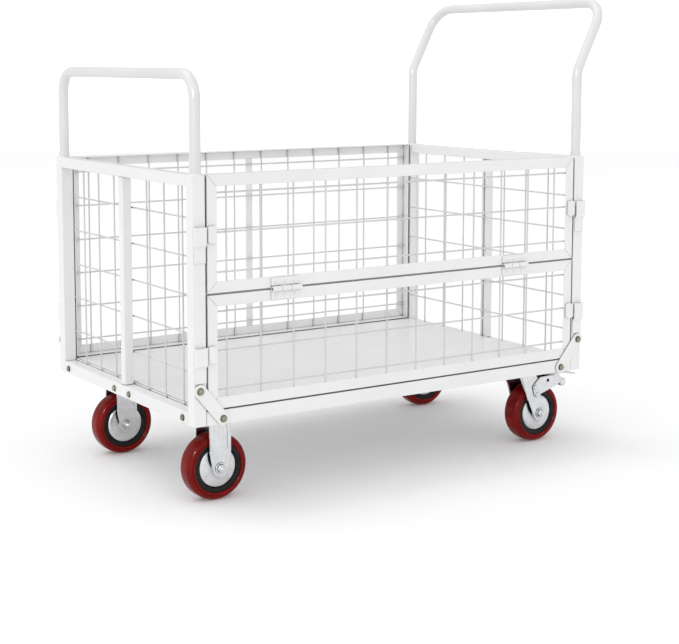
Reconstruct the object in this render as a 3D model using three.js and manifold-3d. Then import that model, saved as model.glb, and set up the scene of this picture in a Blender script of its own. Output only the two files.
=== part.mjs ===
// Mesh-sided cage platform cart: a flat steel deck on four casters, closed by two fixed mesh ends
// with tube handles, a hook-on back panel and a hook-on front panel whose upper half folds out.
// Millimetres. +X runs from the short-handle end to the tall-handle end, -Y is the folding front,
// +Z is up and the floor is z = 0.
import * as THREE from "three";
import { mergeVertices } from "three/addons/utils/BufferGeometryUtils.js";
import Module from "manifold-3d";

const wasm = await Module();
wasm.setup();

// ---- driving dimensions ----
const GAP = 0.3; // clearance left between parts that touch
const CART_LENGTH = 1100; // over the two end frames
const CART_WIDTH = 700;
const HALF_LENGTH = CART_LENGTH / 2;
const HALF_WIDTH = CART_WIDTH / 2;

const DECK_Z = 198; // underside of the deck rim
const RIM_HEIGHT = 31;
const STEEL = 3; // wall of the folded deck frame, angles and clips
const DECK_FLANGE = 40; // width of the folded top flange of the deck frame
const SHEET_THICKNESS = 2;
const SHEET_LENGTH = 1030;
const SHEET_WIDTH = 640;

const POST = 30; // square tube of the end frames
const POST_WALL = 1.5;
const FRAME_HEIGHT = 535; // end frame, from the underside of the deck rim
const FRAME_TOP = DECK_Z + FRAME_HEIGHT;
const END_RAIL = 25; // height of the end frame's top and bottom rails
const STILE = 22; // centre stile of the end frames

const TUBE_RADIUS = 12.5; // 25 mm handle tube
const TUBE_BORE = 10.5;
const TUBE_SIDES = 14;
const BORE_SIDES = 8;
const HANDLE_DEPTH = 100; // how far a handle leg runs down inside its post
const SHORT_HANDLE_TOP = DECK_Z + 744; // centre line of the bar
const SHORT_HANDLE_BEND = 52;
const TALL_HANDLE_KNEE = DECK_Z + 745; // where the legs start to lean
const TALL_HANDLE_TOP = DECK_Z + 914;
const TALL_HANDLE_LEAN = 87; // how far the bar stands out past the legs
const KNEE_BEND = 60;
const TALL_HANDLE_BEND = 62;

const WIRE = 4;
const MESH_PITCH = 84;
const END_ROWS = [103, 187, 271, 355, 438]; // wire heights above the deck rim's underside
const END_COLUMNS = [-252, -168, -84, 0, 84, 168, 252];
const FIRST_COLUMN = -467; // first upright wire of the side panels
const COLUMN_COUNT = 12;
const LOWER_ROWS = [74.5, 159, 243];
const FLAP_ROWS = [327, 412, 496];
const BACK_ROWS = [...LOWER_ROWS, ...FLAP_ROWS];

const PANEL_HALF_LENGTH = 517; // side panels stand between the posts with 3 mm each side
const ANGLE = 25; // leg of the angle steel of the panels
const PANEL_BOTTOM = DECK_Z + 33;
const SPLIT_LOW = DECK_Z + 281; // top of the fixed front half
const SPLIT_HIGH = DECK_Z + 282.5; // bottom of the folding half
const BACK_STILE = 20;

const CLIP_WIDTH = 28; // pocket clip on a post
const CLIP_BASES = [94, 350]; // foot of each clip above the deck rim's underside
const CLIP_FLAT = 35; // flat part below the pocket
const POCKET_HEIGHT = 41;
const POCKET_PROUD = 9;
const HOOK_HEIGHT = 34;
const HOOK_THICKNESS = 3.2;
const HOOK_OVERLAP = 13; // how far a tongue reaches behind the pocket wall
const HOOK_LIFT = 7; // from the pocket's floor to the underside of the hook
const HOOK_STAND_OFF = 1.4; // between the panel's face and the tongue
const TAB_WIDTH = 20;
const TAB_PROUD = 7;

const STRAP_WIDTH = 29; // diagonal brace at each deck corner
const STRAP_TOP = { x: 537, z: DECK_Z + 78 };
const STRAP_FOOT = { x: 482, z: DECK_Z + 13 };
const BOLT_HEAD = 7.3; // radius over the corners
const BOLT_HEAD_HEIGHT = 5.2;
const BOLT_SHANK = 4;
const BOLT_LENGTH = 10;
const BOLT_HOLE_DEPTH = 5; // cut this far either side of the face it opens on

const HINGE_X = 325; // centre of each flap hinge, either side of the middle
const HINGE_LENGTH = 70;
const LEAF_HEIGHT = 24;
const LEAF_THICKNESS = 2.4;
const KNUCKLE_RADIUS = 6;
const PIN_RADIUS = 3;
const PIN_HEAD_RADIUS = 5;
const PIN_HEAD_LENGTH = 6;
const HINGE_Y = -HALF_WIDTH - GAP - KNUCKLE_RADIUS; // pin line, just outside the panel's face
const HINGE_Z = (SPLIT_LOW + SPLIT_HIGH) / 2;

const WHEEL_RADIUS = 75; // 150 mm wheel
const TREAD_WIDTH = 50;
const TREAD_SHOULDER = 15;
const TREAD_RECESS = 2; // its bore edge lies this far inside its face
const CORE_RADIUS = 58;
const CORE_RIM = 22; // half width of the core at its rim
const CORE_STEP = 21; // half width at the edge of the recess that takes a cap
const CORE_WEB = 16; // half width of the core under a cap
const CAP_RADIUS = 46;
const CAP_RIM = 20.5; // distance of a cap's rim from the wheel's middle plane
const CAP_FLARE = { radius: 19, y: 24 };
const CAP_HUB = { radius: 15, y: 28.6 }; // raised middle of a cap
const SLEEVE_RADIUS = 20;
const AXLE_RADIUS = 6;
const AXLE_HEAD_RADIUS = 10;
const AXLE_HEAD_LENGTH = 7;
const FIXED_X = -440; // axle line of the two fixed casters
const PIVOT_X = 450; // swivel axis of the two braked casters
const TRAIL = 45; // axle behind the swivel axis
const CASTER_Y = 233;
const PLATE_LENGTH = 110;
const PLATE_WIDTH = 92;
const PLATE_THICKNESS = 4;
const LEG_INNER = 30; // half the space between the fork legs
const LEG_THICKNESS = 3.5;
const LEG_WIDTH = 54;
const LEG_SHOULDER_Z = 140; // below this a fork's legs narrow to the axle
const AXLE_EYE = 20; // radius of the leg's rounded end
const CROWN_TOP = DECK_Z - 11; // top of a swivel fork
const CROWN_THICKNESS = 8;
const CROWN_RADIUS = 34;
const CROWN_SLOPE_Z = 160; // a swivel fork's trailing edge leans from here to the crown
const HIP = 10; // how far that edge stands out past the crown
const RACE_RADIUS = 31;
const KINGPIN_LENGTH = 12;
const BRAKE_PIVOT = { x: 27, z: 144 }; // from the swivel axis, and above the floor
const RIVET_RADIUS = 4;
const RIVET_HEAD_RADIUS = 7;
const RIVET_HEAD_LENGTH = 2;
const CHEEK_THICKNESS = 2.5;
// Points of the brake lever as [along, up] from its pivot: a cheek, the tread and its fittings.
const CHEEK_BRACKET = [[4, 16], [-10, 2], [-3, -22], [6, -27], [20, -18]];
const CHEEK_ARM = [[57, -7], [84, 3], [93, 3], [92, 12], [76, 28], [67, 25], [16, 25]];
const PEDAL_OUTLINE = [[58, 22], [58, 25], [76, 30], [135, 22], [135, 19], [76, 26.5]];
const BRAKE_ROLLER = [93, 3];
const BRAKE_ROLLER_RADIUS = 10;
const SHOE_RIVET = [5, -19];
const SHOE_RIVET_RADIUS = 6;
const ARM_HOLE = [41, 14];
const ARM_HOLE_RADIUS = 4;

// ---- materials ----
function finish(color, roughness, metalness) {
  return new THREE.MeshStandardMaterial({ color, roughness, metalness });
}
const WHITE_COAT = finish("#f1f1f1", 0.35, 0.0);
const WHITE_WIRE = finish("#f4f4f4", 0.4, 0.0);
const ZINC = finish("#c3c6ca", 0.32, 0.9);
const BOLT_STEEL = finish("#8f8b7c", 0.35, 0.9);
const RED_TREAD = finish("#8e1f1f", 0.25, 0.0);
const BLACK_CORE = finish("#151515", 0.45, 0.0);

// ---- solids ----
function solid(geometry) {
  const bare = new THREE.BufferGeometry();
  const source = geometry.index ? geometry.toNonIndexed() : geometry;
  bare.setAttribute("position", source.getAttribute("position"));
  const merged = mergeVertices(bare, 1e-3);
  const vertProperties = new Float32Array(merged.attributes.position.array);
  const triVerts = new Uint32Array(merged.index.array);
  return new wasm.Manifold(new wasm.Mesh({ numProp: 3, vertProperties, triVerts }));
}

function join(pieces) {
  return pieces.reduce((sum, piece) => sum.add(piece));
}

function cut(body, tools) {
  return tools.reduce((left, tool) => left.subtract(tool), body);
}

// A block from its two opposite corners.
function block(x0, x1, y0, y1, z0, z1) {
  const shape = new THREE.BoxGeometry(Math.abs(x1 - x0), Math.abs(y1 - y0), Math.abs(z1 - z0));
  return solid(shape.translate((x0 + x1) / 2, (y0 + y1) / 2, (z0 + z1) / 2));
}

// A round bar along one axis ("x", "y" or "z") from a to b, through the other two coordinates.
function bar(axis, radius, a, b, centre, sides = 16) {
  const shape = new THREE.CylinderGeometry(radius, radius, Math.abs(b - a), sides);
  if (axis === "x") shape.rotateZ(Math.PI / 2);
  if (axis === "z") shape.rotateX(Math.PI / 2);
  const middle = (a + b) / 2;
  const at = { x: centre.x ?? 0, y: centre.y ?? 0, z: centre.z ?? 0 };
  at[axis] = middle;
  return solid(shape.translate(at.x, at.y, at.z));
}

// A plate with an outline in X and Z, lying between two Y values.
function plateXZ(outline, y0, y1) {
  const shape = new THREE.Shape(outline.map(([x, z]) => new THREE.Vector2(x, z)));
  const depth = Math.abs(y1 - y0);
  const plate = new THREE.ExtrudeGeometry(shape, { depth, bevelEnabled: false });
  return solid(plate.rotateX(Math.PI / 2).translate(0, Math.max(y0, y1), 0));
}

// Points on an arc in X and Z, from one angle to another, in degrees.
function arcXZ(x, z, radius, from, to, steps) {
  const points = [];
  for (let i = 0; i <= steps; i++) {
    const angle = THREE.MathUtils.degToRad(from + ((to - from) * i) / steps);
    points.push([x + radius * Math.cos(angle), z + radius * Math.sin(angle)]);
  }
  return points;
}

// A ring turned about the Y axis through (x, z): profile points are [radius, y].
function turned(profile, x, y, z, sides) {
  const closed = [...profile, profile[0]].map(([r, h]) => new THREE.Vector2(r, h));
  return solid(new THREE.LatheGeometry(closed, sides).translate(x, y, z));
}

// The same profile mirrored to the other side of the wheel's middle plane.
function bothSides(half) {
  return [...half, ...half.map(([r, y]) => [r, -y]).reverse()];
}

const parts = new THREE.Group();

function add(name, body, material) {
  const mesh = body.getMesh();
  const geometry = new THREE.BufferGeometry();
  geometry.setAttribute("position", new THREE.BufferAttribute(mesh.vertProperties, 3));
  geometry.setIndex(new THREE.BufferAttribute(mesh.triVerts, 1));
  const shown = geometry.toNonIndexed();
  shown.computeVertexNormals();
  const node = new THREE.Mesh(shown, material);
  node.name = name;
  parts.add(node);
}

// ---- deck ----
function deckFrame() {
  const endX = HALF_LENGTH - POST - GAP;
  const outer = block(-endX, endX, -HALF_WIDTH, HALF_WIDTH, DECK_Z, DECK_Z + RIM_HEIGHT);
  const innerX = endX - STEEL;
  const innerY = HALF_WIDTH - STEEL;
  const under = block(-innerX, innerX, -innerY, innerY, DECK_Z - 1, DECK_Z + RIM_HEIGHT - STEEL);
  const holeX = endX - DECK_FLANGE;
  const holeY = HALF_WIDTH - DECK_FLANGE;
  const middle = block(-holeX, holeX, -holeY, holeY, DECK_Z, DECK_Z + RIM_HEIGHT + 1);
  const tools = [under, middle];
  for (const sideX of [-1, 1]) {
    for (const sideY of [-1, 1]) {
      const face = sideY * HALF_WIDTH;
      tools.push(boltHole(face, footOf(sideX)));
    }
  }
  return cut(outer, tools);
}

function footOf(sideX) {
  return { x: sideX * STRAP_FOOT.x, z: STRAP_FOOT.z };
}

// The tool that cuts a strap bolt's hole through a face square to Y.
function boltHole(face, at) {
  return bar("y", BOLT_SHANK + GAP, face - BOLT_HOLE_DEPTH, face + BOLT_HOLE_DEPTH, at, 8);
}

function deckSheet() {
  const low = DECK_Z + RIM_HEIGHT + GAP;
  const halfX = SHEET_LENGTH / 2;
  const halfY = SHEET_WIDTH / 2;
  return block(-halfX, halfX, -halfY, halfY, low, low + SHEET_THICKNESS);
}

// A folded channel across the deck, open upwards, that carries a pair of casters or stiffens the sheet.
function crossChannel(centreX, width) {
  const halfY = HALF_WIDTH - STEEL - GAP;
  const top = DECK_Z + RIM_HEIGHT - STEEL - GAP;
  const x0 = centreX - width / 2;
  const x1 = centreX + width / 2;
  const outer = block(x0, x1, -halfY, halfY, DECK_Z, top);
  const inside = block(x0 + STEEL, x1 - STEEL, -halfY - 1, halfY + 1, DECK_Z + STEEL, top + 1);
  return outer.subtract(inside);
}

// ---- end frames ----
// One pocket clip: a flat foot on the post's face with a bulged pocket above it, open at the top
// and towards the panel.
function pocketClip(sideX, sideY, base) {
  const face = sideY * HALF_WIDTH;
  const out = (d) => face + sideY * d;
  const outer = sideX * (HALF_LENGTH - 1);
  const inner = sideX * (HALF_LENGTH - 1 - CLIP_WIDTH);
  const foot = DECK_Z + base;
  const floor = foot + CLIP_FLAT;
  const top = floor + POCKET_HEIGHT;
  const flat = block(outer, inner, out(-0.5), out(STEEL), foot, floor + STEEL);
  const bulge = block(outer, inner, out(-0.5), out(POCKET_PROUD), floor, top);
  const open = outer - sideX * STEEL;
  const space = block(open, inner - sideX, out(0), out(POCKET_PROUD - STEEL), floor + STEEL, top + 1);
  return flat.add(bulge.subtract(space));
}

function endFrame(sideX) {
  const outerX = sideX * HALF_LENGTH;
  const innerX = sideX * (HALF_LENGTH - POST);
  const wall = sideX * POST_WALL;
  const railTop = FRAME_TOP - END_RAIL;
  const postInner = HALF_WIDTH - POST;
  const shells = [
    block(outerX, innerX, -postInner, postInner, railTop, FRAME_TOP),
    block(outerX, innerX, -postInner, postInner, DECK_Z, DECK_Z + END_RAIL),
  ];
  const hollowY = HALF_WIDTH - POST_WALL;
  const railHollow = (z0, z1) =>
    block(outerX - wall, innerX + wall, -hollowY, hollowY, z0 + POST_WALL, z1 - POST_WALL);
  const hollows = [
    railHollow(railTop, FRAME_TOP),
    railHollow(DECK_Z, DECK_Z + END_RAIL),
  ];
  for (const sideY of [-1, 1]) {
    const y0 = sideY * HALF_WIDTH;
    const y1 = sideY * postInner;
    shells.push(block(outerX, innerX, y0, y1, DECK_Z, FRAME_TOP));
    for (const base of CLIP_BASES) shells.push(pocketClip(sideX, sideY, base));
    const hollowEnd = y1 + sideY * POST_WALL;
    const hollowTop = FRAME_TOP - POST_WALL;
    hollows.push(block(outerX - wall, innerX + wall, sideY * hollowY, hollowEnd, DECK_Z - 1, hollowTop));
    const leg = { x: sideX * (HALF_LENGTH - POST / 2), y: sideY * (HALF_WIDTH - POST / 2) };
    hollows.push(bar("z", TUBE_RADIUS + GAP, hollowTop - 1, FRAME_TOP + 1, leg, TUBE_SIDES));
    const bolt = { x: sideX * STRAP_TOP.x, z: STRAP_TOP.z };
    hollows.push(boltHole(y0, bolt));
  }
  const stileX = sideX * (HALF_LENGTH - POST / 2);
  const half = STILE / 2;
  shells.push(block(stileX - half, stileX + half, -half, half, DECK_Z + END_RAIL - 1, railTop + 1));
  return cut(join(shells), hollows);
}

// ---- handles ----
// A centre line of straight runs joined by arcs, sampled only where its direction changes.
class BentLine extends THREE.Curve {
  constructor(corners, bends, arcSteps) {
    super();
    this.stations = [];
    this.directions = [];
    const keep = (point, direction) => {
      this.stations.push(point);
      this.directions.push(direction);
    };
    const way = (i) => corners[i + 1].clone().sub(corners[i]).normalize();
    keep(corners[0], way(0));
    for (let i = 1; i < corners.length - 1; i++) {
      const a = way(i - 1);
      const b = way(i);
      const turn = a.angleTo(b);
      const radius = bends[i - 1];
      const inward = b.clone().addScaledVector(a, -Math.cos(turn)).normalize();
      const start = corners[i].clone().addScaledVector(a, -radius * Math.tan(turn / 2));
      const centre = start.clone().addScaledVector(inward, radius);
      for (let k = 0; k <= arcSteps[i - 1]; k++) {
        const t = (turn * k) / arcSteps[i - 1];
        const point = centre.clone().addScaledVector(inward, -radius * Math.cos(t));
        point.addScaledVector(a, radius * Math.sin(t));
        const direction = a.clone().multiplyScalar(Math.cos(t)).addScaledVector(inward, Math.sin(t));
        keep(point, direction);
      }
    }
    keep(corners[corners.length - 1], way(corners.length - 2));
  }
  get steps() {
    return this.stations.length - 1;
  }
  getPoint(t) {
    return this.stations[Math.round(t * this.steps)].clone();
  }
  getPointAt(t) {
    return this.getPoint(t);
  }
  getSpacedPoints() {
    return this.stations.map((p) => p.clone());
  }
  getTangentAt(t) {
    return this.directions[Math.round(t * this.steps)].clone();
  }
}

function ringPoints(radius, sides) {
  const points = [];
  for (let i = 0; i < sides; i++) {
    const angle = (2 * Math.PI * i) / sides;
    points.push(new THREE.Vector2(radius * Math.cos(angle), radius * Math.sin(angle)));
  }
  return points;
}

function tube(line) {
  const section = new THREE.Shape(ringPoints(TUBE_RADIUS, TUBE_SIDES));
  section.holes.push(new THREE.Path(ringPoints(TUBE_BORE, BORE_SIDES)));
  const options = { steps: line.steps, extrudePath: line, bevelEnabled: false };
  return solid(new THREE.ExtrudeGeometry(section, options));
}

function shortHandle() {
  const x = -(HALF_LENGTH - POST / 2);
  const y = HALF_WIDTH - POST / 2;
  const low = FRAME_TOP - HANDLE_DEPTH;
  const corners = [
    new THREE.Vector3(x, -y, low),
    new THREE.Vector3(x, -y, SHORT_HANDLE_TOP),
    new THREE.Vector3(x, y, SHORT_HANDLE_TOP),
    new THREE.Vector3(x, y, low),
  ];
  return tube(new BentLine(corners, [SHORT_HANDLE_BEND, SHORT_HANDLE_BEND], [5, 5]));
}

function tallHandle() {
  const x = HALF_LENGTH - POST / 2;
  const y = HALF_WIDTH - POST / 2;
  const low = FRAME_TOP - HANDLE_DEPTH;
  const out = x + TALL_HANDLE_LEAN;
  const corners = [
    new THREE.Vector3(x, -y, low),
    new THREE.Vector3(x, -y, TALL_HANDLE_KNEE),
    new THREE.Vector3(out, -y, TALL_HANDLE_TOP),
    new THREE.Vector3(out, y, TALL_HANDLE_TOP),
    new THREE.Vector3(x, y, TALL_HANDLE_KNEE),
    new THREE.Vector3(x, y, low),
  ];
  const bends = [KNEE_BEND, TALL_HANDLE_BEND, TALL_HANDLE_BEND, KNEE_BEND];
  return tube(new BentLine(corners, bends, [2, 5, 5, 2]));
}

// ---- wire mesh ----
// Crossed wires welded in one plane across X: columns at Y values, rows at Z values.
function endMesh(sideX) {
  const plane = sideX * (HALF_LENGTH - POST / 2 - STILE / 2 - GAP - WIRE / 2);
  const halfY = HALF_WIDTH - POST - GAP;
  const low = DECK_Z + END_RAIL + GAP;
  const high = FRAME_TOP - END_RAIL - GAP;
  const w = WIRE / 2;
  const wires = END_COLUMNS.map((y) => block(plane - w, plane + w, y - w, y + w, low, high));
  for (const row of END_ROWS) {
    const z = DECK_Z + row;
    wires.push(block(plane - w, plane + w, -halfY, halfY, z - w, z + w));
  }
  return join(wires);
}

// Crossed wires behind the face of a side panel, between two heights.
function sideMesh(sideY, rows, low, high) {
  const plane = sideY * (HALF_WIDTH - STEEL - GAP - WIRE / 2);
  const halfX = PANEL_HALF_LENGTH - STEEL - GAP;
  const w = WIRE / 2;
  const wires = [];
  for (let i = 0; i < COLUMN_COUNT; i++) {
    const x = FIRST_COLUMN + i * MESH_PITCH;
    wires.push(block(x - w, x + w, plane - w, plane + w, low + STEEL + GAP, high - STEEL - GAP));
  }
  for (const row of rows) {
    const z = DECK_Z + row;
    wires.push(block(-halfX, halfX, plane - w, plane + w, z - w, z + w));
  }
  return join(wires);
}

// ---- side panels ----
// A rectangular frame of angle steel: a flat face towards the outside and a flange turned inwards.
function angleFrame(sideY, low, high) {
  const face = sideY * HALF_WIDTH;
  const back = face - sideY * STEEL;
  const deep = face - sideY * ANGLE;
  const x = PANEL_HALF_LENGTH;
  const slab = block(-x, x, face, deep, low, high);
  const inside = block(-x + STEEL, x - STEEL, back, deep - sideY, low + STEEL, high - STEEL);
  const edge = x - ANGLE;
  const opening = block(-edge, edge, face + sideY, back - sideY, low + ANGLE, high - ANGLE);
  return cut(slab, [inside, opening]);
}

// A hook on a panel's stile. With a tongue it drops into the pocket of a post's clip;
// without one it is only the bulged tab that closes beside the clip.
function panelHook(sideX, sideY, clipBase, withTongue) {
  const face = sideY * HALF_WIDTH;
  const out = (d) => face + sideY * d;
  const low = DECK_Z + clipBase + CLIP_FLAT + HOOK_LIFT;
  const high = low + HOOK_HEIGHT;
  const edge = sideX * PANEL_HALF_LENGTH;
  const tab = block(edge, edge - sideX * TAB_WIDTH, out(-0.5), out(TAB_PROUD), low, high);
  if (!withTongue) return tab;
  const tip = edge + sideX * HOOK_OVERLAP;
  const tongueIn = out(HOOK_STAND_OFF);
  const tongueOut = out(HOOK_STAND_OFF + HOOK_THICKNESS);
  return tab.add(block(edge - sideX, tip, tongueIn, tongueOut, low, high));
}

function hooks(sideY, bases, withTongue) {
  const made = [];
  for (const sideX of [-1, 1]) {
    for (const base of bases) made.push(panelHook(sideX, sideY, base, withTongue));
  }
  return made;
}

function frontLowerFrame() {
  const frame = angleFrame(-1, PANEL_BOTTOM, SPLIT_LOW);
  return join([frame, ...hooks(-1, [CLIP_BASES[0]], true)]);
}

function flapFrame() {
  const frame = angleFrame(-1, SPLIT_HIGH, FRAME_TOP);
  return join([frame, ...hooks(-1, [CLIP_BASES[1]], false)]);
}

function backFrame() {
  const frame = angleFrame(1, PANEL_BOTTOM, FRAME_TOP);
  const half = BACK_STILE / 2;
  const face = HALF_WIDTH;
  const stile = block(-half, half, face - STEEL, face, PANEL_BOTTOM + 1, FRAME_TOP - 1);
  return join([frame, stile, ...hooks(1, CLIP_BASES, true)]);
}

// ---- corner braces ----
function strap(sideX, sideY) {
  const face = sideY * (HALF_WIDTH + GAP);
  const outside = face + sideY * STEEL;
  const a = { x: sideX * STRAP_TOP.x, z: STRAP_TOP.z };
  const b = footOf(sideX);
  const along = THREE.MathUtils.radToDeg(Math.atan2(b.z - a.z, b.x - a.x));
  const r = STRAP_WIDTH / 2;
  const topEnd = arcXZ(a.x, a.z, r, along + 90, along + 270, 6);
  const footEnd = arcXZ(b.x, b.z, r, along - 90, along + 90, 6);
  const holes = [a, b].map((p) => boltHole(face, p));
  return cut(plateXZ([...topEnd, ...footEnd], face, outside), holes);
}

function strapBolt(sideX, sideY, at) {
  const seat = sideY * (HALF_WIDTH + 2 * GAP + STEEL);
  const centre = { x: sideX * at.x, z: at.z };
  const head = bar("y", BOLT_HEAD, seat, seat + sideY * BOLT_HEAD_HEIGHT, centre, 6);
  const shank = bar("y", BOLT_SHANK, seat + sideY, seat - sideY * BOLT_LENGTH, centre, 8);
  return head.add(shank);
}

// ---- flap hinges ----
function knuckle(x0, x1) {
  const axis = { y: HINGE_Y, z: HINGE_Z };
  const barrel = bar("x", KNUCKLE_RADIUS, x0, x1, axis);
  return barrel.subtract(bar("x", PIN_RADIUS + GAP, x0 - 1, x1 + 1, axis, 10));
}

// One leaf: side +1 is the folding half's leaf with the middle knuckle, -1 the fixed half's leaf
// with the two outer knuckles.
function hingeLeaf(centreX, side) {
  const third = HINGE_LENGTH / 6;
  const x0 = centreX - HINGE_LENGTH / 2;
  const x1 = centreX + HINGE_LENGTH / 2;
  const inner = -HALF_WIDTH - GAP;
  const outer = inner - LEAF_THICKNESS;
  const clear = KNUCKLE_RADIUS + GAP;
  const tip = HINGE_Z + side * LEAF_HEIGHT;
  const plate = block(x0, x1, inner, outer, HINGE_Z + side * clear, tip);
  const root = (a, b) => block(a, b, inner, outer, HINGE_Z + side, HINGE_Z + side * (clear + 1));
  const middle = [centreX - third + GAP / 2, centreX + third - GAP / 2];
  const left = [x0, centreX - third - GAP / 2];
  const right = [centreX + third + GAP / 2, x1];
  const spans = side > 0 ? [middle] : [left, right];
  const pieces = spans.flatMap(([a, b]) => [root(a, b), knuckle(a, b)]);
  return cut(join([plate, ...pieces]), [
    bar("x", PIN_RADIUS + GAP, x0 - 1, x1 + 1, { y: HINGE_Y, z: HINGE_Z }, 10),
  ]);
}

function hingePin(centreX) {
  const axis = { y: HINGE_Y, z: HINGE_Z };
  const left = centreX - HINGE_LENGTH / 2 + 4;
  const right = centreX + HINGE_LENGTH / 2 + GAP;
  const shank = bar("x", PIN_RADIUS, left, right + 1, axis, 10);
  return shank.add(bar("x", PIN_HEAD_RADIUS, right, right + PIN_HEAD_LENGTH, axis, 12));
}

// ---- casters ----
function tread(x, y) {
  const w = TREAD_WIDTH / 2;
  const s = TREAD_SHOULDER;
  const half = [[CORE_RADIUS, w - TREAD_RECESS]];
  half.push([WHEEL_RADIUS - s, w]);
  for (const t of [30, 60]) {
    const angle = THREE.MathUtils.degToRad(t);
    half.push([WHEEL_RADIUS - s + s * Math.sin(angle), w - s * (1 - Math.cos(angle))]);
  }
  half.push([WHEEL_RADIUS, w - s]);
  return turned(bothSides(half).reverse(), x, y, WHEEL_RADIUS, 32);
}

function core(x, y) {
  const rim = CORE_RADIUS - GAP;
  const half = [
    [SLEEVE_RADIUS, CORE_WEB],
    [CAP_RADIUS + 1, CORE_WEB],
    [CAP_RADIUS + 1, CORE_STEP],
    [rim, CORE_RIM],
  ];
  return turned(bothSides(half).reverse(), x, y, WHEEL_RADIUS, 24);
}

// Two pressed dust caps on a sleeve through the core.
function capAndSleeve(x, y) {
  const half = [
    [AXLE_RADIUS + GAP, CAP_HUB.y],
    [CAP_HUB.radius, CAP_HUB.y],
    [CAP_FLARE.radius, CAP_FLARE.y],
    [CAP_RADIUS, CAP_RIM],
    [CAP_RADIUS, CORE_WEB + GAP],
    [SLEEVE_RADIUS - GAP, CORE_WEB + GAP],
  ];
  return turned(bothSides(half).reverse(), x, y, WHEEL_RADIUS, 20);
}

function axle(x, y) {
  const seat = LEG_INNER + LEG_THICKNESS + GAP;
  const centre = { x, z: WHEEL_RADIUS };
  const shank = bar("y", AXLE_RADIUS, y - seat - 3, y + seat + 3, centre, 12);
  const head = bar("y", AXLE_HEAD_RADIUS, y - seat - AXLE_HEAD_LENGTH, y - seat, centre, 6);
  const nut = bar("y", AXLE_HEAD_RADIUS, y + seat, y + seat + AXLE_HEAD_LENGTH, centre, 6);
  return join([shank, head, nut]);
}

// Both legs of a fork with their eyes for the axle; outline in X and Z.
function legs(x, y, outline) {
  const out = LEG_INNER + LEG_THICKNESS;
  const holeAt = { x, z: WHEEL_RADIUS };
  const hole = bar("y", AXLE_RADIUS + GAP, y - out - 1, y + out + 1, holeAt, 12);
  const pair = [plateXZ(outline, y - out, y - LEG_INNER), plateXZ(outline, y + LEG_INNER, y + out)];
  return pair.map((leg) => leg.subtract(hole));
}

function fixedFork(y) {
  const top = DECK_Z - GAP;
  const under = top - PLATE_THICKNESS;
  const halfX = PLATE_LENGTH / 2;
  const plate = block(FIXED_X - halfX, FIXED_X + halfX, y - PLATE_WIDTH / 2, y + PLATE_WIDTH / 2, under, top);
  const half = LEG_WIDTH / 2;
  const eye = arcXZ(FIXED_X, WHEEL_RADIUS, AXLE_EYE, 180, 360, 8);
  const front = FIXED_X - half;
  const rear = FIXED_X + half;
  const outline = [...eye, [rear, LEG_SHOULDER_Z], [rear, top - 1], [front, top - 1]];
  outline.push([front, LEG_SHOULDER_Z]);
  const out = LEG_INNER + LEG_THICKNESS;
  const bridge = block(front, rear, y - out, y + out, under - LEG_THICKNESS, top - 1);
  return join([plate, bridge, ...legs(FIXED_X, y, outline)]);
}

// The plate of a swivel caster: bolted up under the deck, with the upper race and the kingpin.
function swivelPlate(y) {
  const top = DECK_Z - GAP;
  const under = top - PLATE_THICKNESS;
  const halfX = PLATE_LENGTH / 2;
  const centre = { x: PIVOT_X, y };
  const plate = block(PIVOT_X - halfX, PIVOT_X + halfX, y - PLATE_WIDTH / 2, y + PLATE_WIDTH / 2, under, top);
  const race = bar("z", RACE_RADIUS, CROWN_TOP + GAP, under + 1, centre, 24);
  const kingpin = bar("z", AXLE_RADIUS, CROWN_TOP - KINGPIN_LENGTH, CROWN_TOP + 1, centre, 12);
  return join([plate, race, kingpin]);
}

function swivelFork(y) {
  const axleX = PIVOT_X + TRAIL;
  const half = LEG_WIDTH / 2;
  const crownLow = CROWN_TOP - CROWN_THICKNESS;
  const front = PIVOT_X - half;
  const rear = PIVOT_X + half;
  const hip = rear + HIP;
  const eye = arcXZ(axleX, WHEEL_RADIUS, AXLE_EYE, 200, 380, 8);
  const outline = [...eye, [hip, LEG_SHOULDER_Z], [hip, CROWN_SLOPE_Z], [rear, CROWN_TOP]];
  outline.push([front, CROWN_TOP]);
  const out = LEG_INNER + LEG_THICKNESS;
  const bridge = block(front, rear, y - out, y + out, crownLow, CROWN_TOP);
  const kingHole = bar("z", AXLE_RADIUS + GAP, crownLow - 1, CROWN_TOP + 1, { x: PIVOT_X, y }, 12);
  const crown = bar("z", CROWN_RADIUS, crownLow, CROWN_TOP, { x: PIVOT_X, y }, 24);
  const pieces = [bridge, crown, ...legs(axleX, y, outline)];
  const rivetAt = { x: PIVOT_X + BRAKE_PIVOT.x, z: BRAKE_PIVOT.z };
  for (const side of [-1, 1]) {
    const seat = out + 2 * GAP + CHEEK_THICKNESS;
    const end = seat + RIVET_HEAD_LENGTH;
    pieces.push(bar("y", RIVET_RADIUS, y + side * (out - 1), y + side * (seat + 1), rivetAt, 10));
    pieces.push(bar("y", RIVET_HEAD_RADIUS, y + side * seat, y + side * end, rivetAt, 12));
  }
  return join(pieces).subtract(kingHole);
}

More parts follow.
